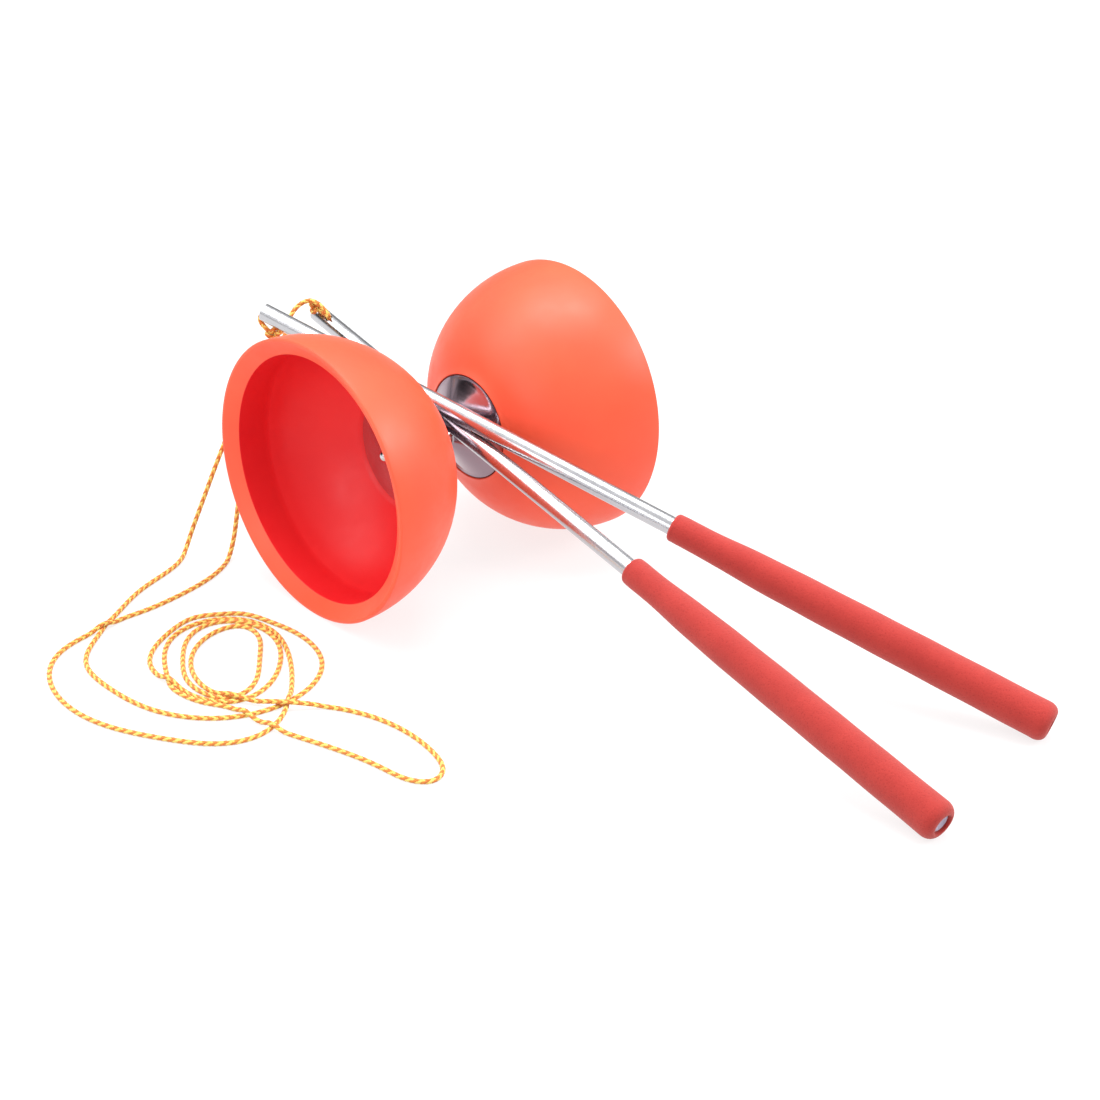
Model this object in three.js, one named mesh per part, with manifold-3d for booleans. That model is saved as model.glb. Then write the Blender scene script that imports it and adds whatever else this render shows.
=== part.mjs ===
// Diabolo with two handsticks and a braided string, set down for storage.
// Millimetres, +Z up. The diabolo lies on both rims with its axle along X.
// The lower handstick lies over the axle sleeve, the upper one crosses on top
// of it, and both grips rest on the ground at -Y. The string is knotted to the
// two stick tips and lies in a loose coil on the ground in front of one cup.
import * as THREE from 'three';
import * as BufferGeometryUtils from 'three/addons/utils/BufferGeometryUtils.js';
import Module from 'manifold-3d';

// ---------------------------------------------------------------- dimensions
const GAP = 0.3;                     // clearance between touching pieces

// cups and axle (x is measured from the middle of the axle)
const RIM_R = 62.5;                  // outer radius of a cup's rim
const HALF_LEN = 73.2;               // middle of the axle to the rim
const RIM_INNER_R = 54.7;            // mouth radius at the foot of the bevel
const RIM_BEVEL = 4.0;               // depth of the bevelled rim
const RIM_FLAT_R = 60.95;            // inner radius of the flat edge outside the bevel
const CONE_EDGE_X = 15.3;            // outer edge of the metal hub cone
const CONE_EDGE_R = 23.6;
const CONE_FOOT_X = 2.8;             // where the cone starts beside the sleeve
const CONE_FOOT_R = 5.2;
const PLATE_X = 22.2, PLATE_T = 1.55, PLATE_R = 25.9;
const SLEEVE_R = 6.0, SLEEVE_HALF = 2.5;
const ROD_R = 2.5, ROD_HALF = 31.5;
const AXLE_BORE_R = ROD_R + GAP;

// handsticks: tip and butt centres, with the axle's middle over x = y = 0
const TIP_UPPER = [-35.25, 80.43, 105.06], BUTT_UPPER = [87.15, -271.69, 7.36];
const TIP_LOWER = [0.02, 88.7, 93.37], BUTT_LOWER = [-0.12, -287.16, 7.49];
const TUBE_R = 4.0, TUBE_BORE_R = 3.1;
const GRIP_START_UPPER = 211.3, GRIP_START_LOWER = 215.0;   // tip to the front of the foam grip
const GRIP_PROFILE = [               // distance behind the grip's front, radius
  [0, 5.55], [0.6, 6.0], [2.2, 6.2], [16, 6.35], [24, 6.65], [34, 7.15], [44, 7.5],
  [60, 7.8], [90, 8.05], [130, 8.2], [168, 8.28],
];
const GRIP_BUTT_ROUND = 3.0;         // rounding of the grip's back edge
const TUBE_RECESS = 1.3;             // the end plug lies this far inside the grip
const STRING_HOLE_R = 1.7, STRING_HOLE_AT = 10.5;

// string
const STRING_R = 1.0;
const COIL_H = 5.6;

// the frame's origin is under the middle of the object's own box
const ORIGIN = [10.487, -99.432];

// ------------------------------------------------------------------ helpers
const wasm = await Module();
wasm.setup();

function clean(geometry) {
  const g = geometry.index ? geometry.clone() : geometry.clone();
  g.deleteAttribute('normal');
  g.deleteAttribute('uv');
  return BufferGeometryUtils.mergeVertices(g, 1e-4);
}
function solid(geometry) {
  const g = clean(geometry);
  return new wasm.Manifold(new wasm.Mesh({
    numProp: 3,
    vertProperties: new Float32Array(g.attributes.position.array),
    triVerts: new Uint32Array(g.index.array),
  }));
}
function geometryOf(manifold) {
  const m = manifold.getMesh();
  const g = new THREE.BufferGeometry();
  const n = m.numProp;
  const p = new Float32Array(m.vertProperties.length / n * 3);
  for (let i = 0, j = 0; i < m.vertProperties.length; i += n) {
    p[j++] = m.vertProperties[i]; p[j++] = m.vertProperties[i + 1]; p[j++] = m.vertProperties[i + 2];
  }
  g.setAttribute('position', new THREE.BufferAttribute(p, 3));
  g.setIndex(new THREE.BufferAttribute(new Uint32Array(m.triVerts), 1));
  g.computeVertexNormals();
  return g;
}
// closed profile of [x, r] pairs turned about the X axis; the profile runs
// counter-clockwise with x to the right and r up
function turned(profile, segments, phase = 0) {
  const pts = profile.map(([x, r]) => new THREE.Vector2(r, x));
  const first = profile[0], last = profile[profile.length - 1];
  const onAxis = first[1] === 0 && last[1] === 0;
  if (!onAxis) pts.push(new THREE.Vector2(first[1], first[0]));
  pts.reverse();
  const g = new THREE.LatheGeometry(pts, segments, phase);
  g.rotateZ(-Math.PI / 2);
  return clean(g);
}
function mirrored(profile) {
  return profile.map(([x, r]) => [-x, r]).reverse();
}
const AXLE_HEIGHT = RIM_R;
const mat = {
  cup: new THREE.MeshStandardMaterial({ color: 0xf2543a, roughness: 0.55, metalness: 0.0 }),
  steel: new THREE.MeshStandardMaterial({ color: 0xb9bcc2, roughness: 0.18, metalness: 1.0 }),
  hub: new THREE.MeshStandardMaterial({ color: 0xc6c9cf, roughness: 0.12, metalness: 1.0 }),
  zinc: new THREE.MeshStandardMaterial({ color: 0xc9cbd0, roughness: 0.3, metalness: 1.0 }),
  aluminium: new THREE.MeshStandardMaterial({ color: 0xdfe2e6, roughness: 0.22, metalness: 1.0 }),
  foam: new THREE.MeshStandardMaterial({ color: 0xcf4640, roughness: 0.9, metalness: 0.0 }),
  plug: new THREE.MeshStandardMaterial({ color: 0xc9c6cf, roughness: 0.45, metalness: 0.0 }),
  string: new THREE.MeshStandardMaterial({ color: 0xf0a04a, roughness: 0.8, metalness: 0.0 }),
};
const model = new THREE.Group();
model.position.set(-ORIGIN[0], -ORIGIN[1], 0);
const spinning = new THREE.Group();
spinning.position.set(0, 0, AXLE_HEIGHT);
model.add(spinning);
function add(parent, name, geometry, material) {
  const mesh = new THREE.Mesh(geometry, material);
  mesh.name = name;
  parent.add(mesh);
  return mesh;
}

// ------------------------------------------------------------ diabolo itself
// outside of a cup, from the hub edge to the rim
function cupOuter(x) {
  const u = (HALF_LEN - x) / 62.2;
  return RIM_R * Math.pow(1 - Math.pow(u, 2.066), 1 / 2.032);
}
const cupProfile = [];
cupProfile.push([16.9, 11.3]);
// flat floor inside, under the clamp plate, then the bowl out to the collar
cupProfile.push([21.9, 11.3], [21.9, 26.2], [23.6, 27.2]);
for (const [x, r] of [[26.2, 32.0], [30.0, 37.6], [35.0, 43.4], [41.0, 48.4], [47.5, 52.2], [54.5, 54.7]]) cupProfile.push([x, r]);
cupProfile.push([HALF_LEN - RIM_BEVEL, RIM_INNER_R]);
// a narrow flat edge that the diabolo stands on, outside the bevel
cupProfile.push([HALF_LEN, RIM_FLAT_R], [HALF_LEN, RIM_R - 0.55], [HALF_LEN - 0.55, RIM_R]);
for (const x of [67, 61, 54.5, 47.5, 41, 35, 30, 25.6, 22, 19.2, 17.0]) cupProfile.push([x, cupOuter(x)]);
cupProfile.push([15.5, 25.1], [14.95, 24.5], [15.1, 23.95], [16.9, 23.95]);

const coneProfile = [
  [16.6, AXLE_BORE_R + 0.0], [CONE_FOOT_X, AXLE_BORE_R], [CONE_FOOT_X, CONE_FOOT_R],
  [5.0, 8.1], [8.0, 12.25], [11.5, 17.35], [14.5, 21.9], [CONE_EDGE_X - 0.3, CONE_EDGE_R - 0.75],
  [CONE_EDGE_X - 0.1, CONE_EDGE_R - 0.1], [CONE_EDGE_X + 0.2, CONE_EDGE_R], [16.6, CONE_EDGE_R],
  [16.6, 11.0], [21.9, 11.0], [21.9, AXLE_BORE_R],
].filter((p, i) => i > 0);
const plateProfile = [
  [PLATE_X, AXLE_BORE_R], [PLATE_X, PLATE_R - 0.2], [PLATE_X + 0.2, PLATE_R],
  [PLATE_X + PLATE_T - 0.35, PLATE_R], [PLATE_X + PLATE_T, PLATE_R - 0.35], [PLATE_X + PLATE_T, AXLE_BORE_R],
];
const washerX = PLATE_X + PLATE_T + GAP;
const washerProfile = [
  [washerX, AXLE_BORE_R], [washerX, 5.0], [washerX + 1.0, 5.0], [washerX + 1.0, AXLE_BORE_R],
];
const nutX = washerX + 1.0 + GAP;
function capNut(side) {
  const hex = new THREE.Shape();
  const af = 8.0;
  for (let i = 0; i < 6; i++) {
    const a = Math.PI / 3 * i, rr = af / Math.sqrt(3);
    if (i === 0) hex.moveTo(rr * Math.cos(a), rr * Math.sin(a)); else hex.lineTo(rr * Math.cos(a), rr * Math.sin(a));
  }
  hex.closePath();
  const prism = new THREE.ExtrudeGeometry(hex, { depth: 4.2, bevelEnabled: false });
  prism.rotateY(Math.PI / 2);
  prism.translate(nutX, 0, 0);
  const dome = [[nutX + 3.8, 0]];
  const c = nutX + 5.2, r = 3.75;
  dome.push([nutX + 3.8, r]);
  for (let i = 0; i <= 6; i++) {
    const a = Math.PI / 2 * (1 - i / 6);
    dome.push(i === 6 ? [c + r, 0] : [c + r * Math.cos(a), r * Math.sin(a)]);
  }
  const cap = turned(dome.reverse(), 24);
  const bore = turned([[nutX - 1, 0], [nutX - 1, AXLE_BORE_R], [nutX + 6.6, AXLE_BORE_R], [nutX + 6.6, 0]].reverse(), 16);
  let m = solid(prism).add(solid(cap)).subtract(solid(bore));
  const g = geometryOf(m);
  if (side < 0) g.rotateZ(Math.PI);
  return g;
}
for (const [label, side] of [['front', -1], ['back', 1]]) {
  const p = (profile) => (side > 0 ? [...profile].reverse() : mirrored([...profile].reverse()));
  add(spinning, `cup_${label}`, turned(p([...cupProfile].reverse()), 44), mat.cup);
  add(spinning, `hub_cone_${label}`, turned(p(coneProfile), 32), mat.hub);
  add(spinning, `clamp_plate_${label}`, turned(p(plateProfile), 32), mat.hub);
  add(spinning, `washer_${label}`, turned(p(washerProfile), 20), mat.zinc);
  add(spinning, `cap_nut_${label}`, capNut(side), mat.steel);
}
add(spinning, 'threaded_rod', turned([
  [-ROD_HALF, 0], [-ROD_HALF, ROD_R - 0.4], [-ROD_HALF + 0.4, ROD_R], [ROD_HALF - 0.4, ROD_R], [ROD_HALF, ROD_R - 0.4], [ROD_HALF, 0],
].reverse(), 16), mat.zinc);
// narrow ball bearing in the middle: inner ring on the rod, ball cage, and the
// sleeve that the string runs on
add(spinning, 'bearing_inner_ring', turned([
  [-SLEEVE_HALF, AXLE_BORE_R], [-SLEEVE_HALF, 3.75], [-0.75, 3.75], [0, 3.35], [0.75, 3.75], [SLEEVE_HALF, 3.75], [SLEEVE_HALF, AXLE_BORE_R],
].reverse(), 24), mat.zinc);
add(spinning, 'axle_sleeve', turned([
  [-SLEEVE_HALF, 5.05], [-SLEEVE_HALF, SLEEVE_R - 0.25], [-SLEEVE_HALF + 0.25, SLEEVE_R],
  [SLEEVE_HALF - 0.25, SLEEVE_R], [SLEEVE_HALF, SLEEVE_R - 0.25], [SLEEVE_HALF, 5.05],
  [0.75, 5.05], [0, 5.45], [-0.75, 5.05],
].reverse(), 28), mat.steel);
{
  const band = turned([[-1.5, 4.1], [-1.5, 4.7], [1.5, 4.7], [1.5, 4.1]].reverse(), 24);
  let m = solid(band);
  for (let i = 0; i < 8; i++) {
    const ball = new THREE.SphereGeometry(0.72, 6, 4);
    const a = Math.PI / 4 * i + 0.1;
    ball.translate(0, 4.4 * Math.cos(a), 4.4 * Math.sin(a));
    m = m.add(solid(ball));
  }
  add(spinning, 'bearing_ball_cage', geometryOf(m), mat.zinc);
}

// --------------------------------------------------------------- handsticks
function stick(label, tip, butt, holeSide, gripStart) {
  const a = new THREE.Vector3(...tip), b = new THREE.Vector3(...butt);
  const length = a.distanceTo(b);
  const dir = b.clone().sub(a).normalize();
  // x runs from tip to butt, z stays as near to straight up as it can
  const up = new THREE.Vector3(0, 0, 1);
  const side = new THREE.Vector3().crossVectors(up, dir).normalize();
  const top = new THREE.Vector3().crossVectors(dir, side).normalize();
  const group = new THREE.Group();
  group.matrixAutoUpdate = true;
  const basis = new THREE.Matrix4().makeBasis(dir, side, top);
  group.quaternion.setFromRotationMatrix(basis);
  group.position.copy(a);
  model.add(group);

  const tubeEnd = length - TUBE_RECESS - 0.9 - GAP;
  let tube = solid(turned([
    [0, TUBE_BORE_R + 0.15], [0.15, TUBE_BORE_R], [tubeEnd, TUBE_BORE_R], [tubeEnd, TUBE_R], [0.25, TUBE_R], [0, TUBE_R - 0.25],
  ], 20));
  const drill = new THREE.CylinderGeometry(STRING_HOLE_R, STRING_HOLE_R, 4, 12);
  drill.rotateX(Math.PI / 2);                       // along z
  drill.translate(0, 0, TUBE_R - 0.5);
  drill.rotateX(holeSide);
  drill.translate(STRING_HOLE_AT, 0, 0);
  tube = tube.subtract(solid(drill));
  add(group, `handstick_tube_${label}`, geometryOf(tube), mat.aluminium);

  const bore = TUBE_R + GAP;
  const outer = GRIP_PROFILE.map(([s, r]) => [gripStart + s, r]).filter(([s]) => s < length - GRIP_BUTT_ROUND - 1);
  const rEnd = GRIP_PROFILE[GRIP_PROFILE.length - 1][1], R = GRIP_BUTT_ROUND;
  const grip = [[gripStart, bore], ...outer];
  for (let i = 0; i <= 5; i++) {
    const t = Math.PI / 2 * i / 5;
    grip.push([length - R + R * Math.sin(t), rEnd - R + R * Math.cos(t)]);
  }
  grip.push([length, bore + 0.35], [length - 0.35, bore]);
  add(group, `foam_grip_${label}`, turned([...grip].reverse(), 20), mat.foam);

  const face = length - TUBE_RECESS;
  const plug = [
    [face - 13, 0], [face - 13, 2.4], [face - 12, 2.8], [face - 0.9, 2.8], [face - 0.9, 3.9],
    [face - 0.2, 3.9], [face, 3.7], [face, 0],
  ];
  add(group, `end_plug_${label}`, turned([...plug].reverse(), 16), mat.plug);
  return group;
}
stick('upper', TIP_UPPER, BUTT_UPPER, Math.PI * 0.98, GRIP_START_UPPER);
stick('lower', TIP_LOWER, BUTT_LOWER, 0.46, GRIP_START_LOWER);

// ------------------------------------------------------------------- string
const octagon = new THREE.Shape();
for (let i = 0; i < 8; i++) {
  const a = Math.PI / 4 * (i + 0.5), r = STRING_R / Math.cos(Math.PI / 8) * 0.97;
  if (i === 0) octagon.moveTo(r * Math.cos(a), r * Math.sin(a)); else octagon.lineTo(r * Math.cos(a), r * Math.sin(a));
}
octagon.closePath();
function run(name, points, steps) {
  const path = new THREE.CatmullRomCurve3(points.map((p) => new THREE.Vector3(...p)), false, 'centripetal');
  const g = new THREE.ExtrudeGeometry(octagon, { steps, bevelEnabled: false, extrudePath: path });
  add(model, name, g, mat.string);
}
const COIL_OUTER = [[-154.5, 1.9], [-155.5, -8.5], [-156.0, -20.5], [-154.7, -34.8], [-150.8, -52.4], [-141.0, -71.1], [-120.9, -61.0], [-107.0, -49.7], [-97.1, -40.9], [-90.9, -30.5], [-88.5, -20.0], [-88.2, -11.3], [-88.8, -4.1], [-89.9, 1.9], [-91.3, 7.3], [-93.1, 12.5], [-95.7, 17.5], [-99.3, 22.1], [-104.2, 26.0], [-110.0, 28.8], [-116.7, 29.8], [-123.6, 28.9], [-130.4, 26.7], [-137.4, 23.3], [-144.5, 18.3], [-150.9, 11.2]];
const COIL_HOLE = [[-139.2, -9.9], [-140.5, -16.1], [-140.3, -24.5], [-134.8, -31.9], [-125.7, -26.6], [-120.6, -22.3], [-116.8, -18.9], [-114.0, -14.8], [-111.0, -9.9], [-107.9, -2.5], [-108.1, 7.7], [-118.3, 7.9], [-125.7, 5.5], [-130.9, 2.5], [-134.8, -0.9], [-137.5, -5.0]];
// the upper stick's end of the string, down to the ground and round to the coil
run('string_run_upper', [[-35.2, 76.7, 91.20], [-39.2, 77.3, 84.60], [-48.6, 78.3, 67.90], [-61.9, 79.4, 46.84], [-69.4, 80.2, 30.58], [-75.4, 80.8, 19.21], [-80.0, 81.2, 9.20], [-82.2, 81.2, 4.30], [-84.6, 79.9, 2.00], [-88.6, 76.4, 1.15], [-98.2, 71.2, 1.15], [-108.6, 67.6, 1.15], [-118.9, 63.9, 1.15], [-128.7, 58.7, 1.15], [-137.9, 52.8, 1.15], [-147.2, 46.8, 1.15], [-156.2, 40.6, 1.15], [-164.7, 33.6, 1.15], [-170.9, 25.8, 1.15], [-173.7, 15.2, 1.15], [-174.0, 4.2, 1.15], [-173.6, -6.8, 1.15], [-171.9, -17.7, 1.15], [-168.1, -28.0, 1.15], [-162.1, -37.1, 1.15], [-154.1, -44.7, 1.15]], 25);
// from the coil round the far loop, over the other run, and up to the lower stick
run('string_run_lower', [[-146.3, -66.0, 1.15], [-157.2, -64.8, 1.15], [-166.4, -59.0, 1.15], [-173.5, -50.6, 1.15], [-179.7, -41.5, 1.15], [-185.4, -32.1, 1.15], [-189.7, -23.1, 1.15], [-193.1, -12.6, 1.15], [-194.3, -1.7, 1.15], [-193.4, 9.2, 1.15], [-190.4, 19.8, 1.15], [-185.3, 29.5, 1.15], [-178.0, 37.7, 1.16], [-168.5, 43.2, 1.31], [-158.0, 46.3, 2.28], [-147.0, 47.6, 3.49], [-136.0, 47.8, 2.56], [-126.0, 47.6, 1.46], [-115.0, 47.8, 1.17], [-104.1, 49.2, 1.15], [-93.5, 52.0, 1.15], [-83.3, 56.1, 1.15], [-73.9, 61.9, 1.15], [-70.7, 64.1, 2.10], [-68.2, 65.5, 5.60], [-66.1, 66.5, 11.20], [-63.4, 67.5, 20.47], [-59.2, 69.1, 31.60], [-53.2, 71.5, 45.20], [-45.0, 74.7, 60.00], [-35.2, 78.5, 74.40], [-25.2, 82.3, 87.00], [-16.9, 85.3, 96.60]], 32);
run('string_end_lower', [[-4.3, 88.0, 100.60], [-5.6, 90.0, 101.20], [-8.2, 90.4, 100.90], [-12.0, 88.6, 99.60], [-16.2, 86.2, 97.50]], 6);
// the long loop that runs out of the coil in front of the cup
run('string_loop', [[-118.6, -62.1, 1.15], [-112.4, -71.1, 1.15], [-107.6, -81.0, 1.15], [-104.5, -91.6, 1.15], [-103.1, -101.5, 1.15], [-103.5, -112.5, 1.15], [-105.6, -123.2, 1.15], [-110.5, -133.0, 1.15], [-120.5, -133.9, 1.15], [-125.1, -124.2, 1.15], [-127.0, -113.3, 1.15], [-129.5, -103.7, 1.15], [-132.8, -93.1, 1.15], [-136.0, -82.6, 1.15], [-138.7, -72.0, 1.15]], 14);
{
  const shape = new THREE.Shape(COIL_OUTER.map((p) => new THREE.Vector2(...p)));
  shape.holes.push(new THREE.Path(COIL_HOLE.map((p) => new THREE.Vector2(...p)).reverse()));
  const g = new THREE.ExtrudeGeometry(shape, { depth: COIL_H, bevelEnabled: false });
  add(model, 'string_coil', g, mat.string);
}
function knot(name, centre, rx, ry, rz) {
  const g = new THREE.SphereGeometry(1, 14, 10);
  g.scale(rx, ry, rz);
  g.translate(...centre);
  add(model, name, clean(g), mat.string);
}
knot('knot_upper', [-33.7, 76.0, 95.4], 3.3, 3.6, 3.0);
knot('knot_lower', [-4.5, 83.6, 98.4], 3.2, 3.6, 3.0);

export default model;
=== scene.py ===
import math

import bpy
import bmesh
import numpy as np
from mathutils import Matrix, Vector


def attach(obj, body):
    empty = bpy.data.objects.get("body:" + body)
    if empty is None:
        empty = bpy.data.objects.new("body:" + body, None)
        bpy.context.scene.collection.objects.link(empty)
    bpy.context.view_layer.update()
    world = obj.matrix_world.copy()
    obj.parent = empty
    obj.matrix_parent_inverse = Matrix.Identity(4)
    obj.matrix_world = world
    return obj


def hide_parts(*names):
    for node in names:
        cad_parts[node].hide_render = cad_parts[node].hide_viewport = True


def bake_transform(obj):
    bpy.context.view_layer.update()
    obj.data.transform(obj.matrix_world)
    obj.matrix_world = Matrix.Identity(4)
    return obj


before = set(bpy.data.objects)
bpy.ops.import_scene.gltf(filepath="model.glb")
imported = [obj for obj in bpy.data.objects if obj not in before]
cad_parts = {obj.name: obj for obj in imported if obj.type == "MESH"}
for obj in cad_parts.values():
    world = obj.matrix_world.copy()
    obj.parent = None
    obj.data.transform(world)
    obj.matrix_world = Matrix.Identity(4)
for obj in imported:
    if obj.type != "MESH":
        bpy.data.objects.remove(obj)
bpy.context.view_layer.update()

# ---------------------------------------------------------------- dimensions
# The same numbers as the solids, in millimetres: x along the axle from its
# middle, y along the handsticks, z up. ORIGIN moves them to the row frame.
ORIGIN = np.array([10.487, -99.432, 0.0])
AXLE_Z = 62.5
TIP_UPPER, BUTT_UPPER = (-35.25, 80.43, 105.06), (87.15, -271.69, 7.36)
TIP_LOWER, BUTT_LOWER = (0.02, 88.7, 93.37), (-0.12, -287.16, 7.49)
TUBE_R, BORE_R = 4.0, 3.1
GRIP_START = {"upper": 211.3, "lower": 215.0}
HALF_LEN, RIM_R = 73.2, 62.5


def row(p):
    """A point in axle millimetres, in the row frame in metres."""
    return (np.asarray(p, float) - ORIGIN) / 1000.0


# ------------------------------------------------------------------- camera
eye = row((-568.605924, -681.137353, 477.239017))
AZ, EL, ROLL = -0.750673111, 0.487979627, 0.022614167
fwd = np.array([-math.sin(AZ) * math.cos(EL), math.cos(AZ) * math.cos(EL), -math.sin(EL)])
right = np.array([math.cos(AZ), math.sin(AZ), 0.0])
up = np.cross(right, fwd)
right2 = right * math.cos(ROLL) + up * math.sin(ROLL)
up2 = -right * math.sin(ROLL) + up * math.cos(ROLL)
cam_data = bpy.data.cameras.new("camera")
cam_data.lens, cam_data.sensor_width = 72.7092, 36.0
cam_data.clip_start, cam_data.clip_end = 0.05, 50.0
cam = bpy.data.objects.new("camera", cam_data)
bpy.context.scene.collection.objects.link(cam)
cam.matrix_world = Matrix([
    [right2[0], up2[0], -fwd[0], eye[0]],
    [right2[1], up2[1], -fwd[1], eye[1]],
    [right2[2], up2[2], -fwd[2], eye[2]],
    [0, 0, 0, 1],
])
bpy.context.scene.camera = cam


# ---------------------------------------------------------------- materials
def srgb(r, g, b):
    return tuple(((c / 255) / 12.92 if c / 255 <= 0.04045 else ((c / 255 + 0.055) / 1.055) ** 2.4) for c in (r, g, b)) + (1.0,)


class Mat:
    """A node material with a Principled shader and a few helpers."""

    def __init__(self, name, **values):
        self.m = bpy.data.materials.new(name)
        self.m.use_nodes = True
        self.t = self.m.node_tree
        self.p = next(n for n in self.t.nodes if n.type == "BSDF_PRINCIPLED")
        for k, v in values.items():
            self.p.inputs[k.replace("_", " ")].default_value = v

    def node(self, kind, **props):
        n = self.t.nodes.new(kind)
        for k, v in props.items():
            setattr(n, k, v)
        return n

    def link(self, a, b):
        self.t.links.new(a, b)

    def coords(self, which="Object", scale=(1, 1, 1), rotation=(0, 0, 0), location=(0, 0, 0)):
        c = self.node("ShaderNodeTexCoord")
        m = self.node("ShaderNodeMapping")
        m.inputs["Scale"].default_value = scale
        m.inputs["Rotation"].default_value = rotation
        m.inputs["Location"].default_value = location
        self.link(c.outputs[which], m.inputs["Vector"])
        return m.outputs["Vector"]

    def noise(self, vec, scale, detail=3.0, rough=0.5):
        n = self.node("ShaderNodeTexNoise")
        n.inputs["Scale"].default_value = scale
        n.inputs["Detail"].default_value = detail
        n.inputs["Roughness"].default_value = rough
        self.link(vec, n.inputs["Vector"])
        return n.outputs["Fac"]

    def voronoi(self, vec, scale, feature="F1"):
        n = self.node("ShaderNodeTexVoronoi", feature=feature)
        n.inputs["Scale"].default_value = scale
        self.link(vec, n.inputs["Vector"])
        return n.outputs["Distance"]

    def ramp(self, fac, stops):
        n = self.node("ShaderNodeValToRGB")
        e = n.color_ramp.elements
        e[0].position, e[0].color = stops[0]
        e[1].position, e[1].color = stops[-1]
        for pos, col in stops[1:-1]:
            x = e.new(pos)
            x.color = col
        self.link(fac, n.inputs["Fac"])
        return n.outputs["Color"]

    def mapped(self, fac, lo, hi, a=0.0, b=1.0):
        n = self.node("ShaderNodeMapRange")
        for k, v in (("From Min", a), ("From Max", b), ("To Min", lo), ("To Max", hi)):
            n.inputs[k].default_value = v
        self.link(fac, n.inputs["Value"])
        return n.outputs["Result"]

    def maths(self, op, a, b=None):
        n = self.node("ShaderNodeMath", operation=op)
        for i, v in enumerate((a, b)):
            if v is None:
                continue
            if isinstance(v, (int, float)):
                n.inputs[i].default_value = v
            else:
                self.link(v, n.inputs[i])
        return n.outputs[0]

    def mix(self, fac, a, b):
        n = self.node("ShaderNodeMix", data_type="RGBA")
        if isinstance(fac, (int, float)):
            n.inputs["Factor"].default_value = fac
        else:
            self.link(fac, n.inputs["Factor"])
        for s, v in (("A", a), ("B", b)):
            socket = next(i for i in n.inputs if i.name == s and i.type == "RGBA")
            if isinstance(v, tuple):
                socket.default_value = v
            else:
                self.link(v, socket)
        return next(o for o in n.outputs if o.type == "RGBA")

    def bump(self, height, strength, distance, normal=None):
        n = self.node("ShaderNodeBump")
        n.inputs["Strength"].default_value = strength
        n.inputs["Distance"].default_value = distance
        self.link(height, n.inputs["Height"])
        if normal is not None:
            self.link(normal, n.inputs["Normal"])
        self.link(n.outputs["Normal"], self.p.inputs["Normal"])
        return n.outputs["Normal"]

    def to(self, socket, value):
        self.link(value, self.p.inputs[socket])


def cup_material(name, low, mid, high, spec):
    m = Mat(name, Roughness=0.42)
    m.p.inputs["IOR"].default_value = 1.5
    m.p.inputs["Specular IOR Level"].default_value = spec
    v = m.coords()
    cloud = m.noise(v, 26, 4)
    m.to("Base Color", m.ramp(cloud, [(0.25, low + (1,)), (0.55, mid + (1,)), (0.8, high + (1,))]))
    fine = m.noise(v, 1500, 2, 0.6)
    grain = m.noise(v, 420, 3, 0.6)
    m.to("Roughness", m.mapped(m.noise(v, 90, 5, 0.65), 0.38, 0.52, 0.3, 0.7))
    both = m.maths("ADD", fine, m.maths("MULTIPLY", grain, 0.8))
    m.bump(both, 0.10, 0.0002)
    return m.m


def metal_material(name, color, rough_lo, rough_hi, turned=None, scratch=0.03):
    m = Mat(name, Metallic=1.0, Roughness=rough_lo)
    v = m.coords()
    stain = m.noise(v, 60, 4)
    c = np.array(color)
    m.to("Base Color", m.ramp(stain, [(0.3, tuple(c * 0.93) + (1,)), (0.7, tuple(c) + (1,))]))
    if turned == "x":  # fine lathe marks round the axle
        rings = m.noise(m.coords(scale=(2600, 6, 6)), 1.0, 2)
        m.to("Roughness", m.mapped(m.maths("ADD", m.maths("MULTIPLY", rings, 0.6), m.maths("MULTIPLY", m.noise(v, 240, 4), 0.4)), rough_lo, rough_hi, 0.3, 0.7))
        m.bump(rings, scratch, 0.00004)
    else:
        m.to("Roughness", m.mapped(m.noise(v, 300, 5, 0.65), rough_lo, rough_hi, 0.3, 0.7))
        m.bump(m.noise(v, 900, 3), scratch, 0.00004)
    return m.m


def tube_material(name, direction):
    """Drawn and polished aluminium: marks run along the tube."""
    m = Mat(name, Metallic=1.0, Roughness=0.16)
    d = Vector(direction).normalized()
    q = d.to_track_quat("X", "Z").inverted().to_euler()
    along = m.coords(scale=(5, 900, 900), rotation=tuple(q))
    lines = m.noise(along, 1.0, 3, 0.6)
    v = m.coords()
    m.to("Base Color", m.ramp(m.noise(v, 40, 3), [(0.3, (0.50, 0.50, 0.525, 1)), (0.7, (0.56, 0.56, 0.58, 1))]))
    m.to("Roughness", m.mapped(m.maths("ADD", m.maths("MULTIPLY", lines, 0.5), m.maths("MULTIPLY", m.noise(v, 160, 4), 0.5)), 0.18, 0.30, 0.3, 0.7))
    m.bump(lines, 0.04, 0.00006)
    return m.m


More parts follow.
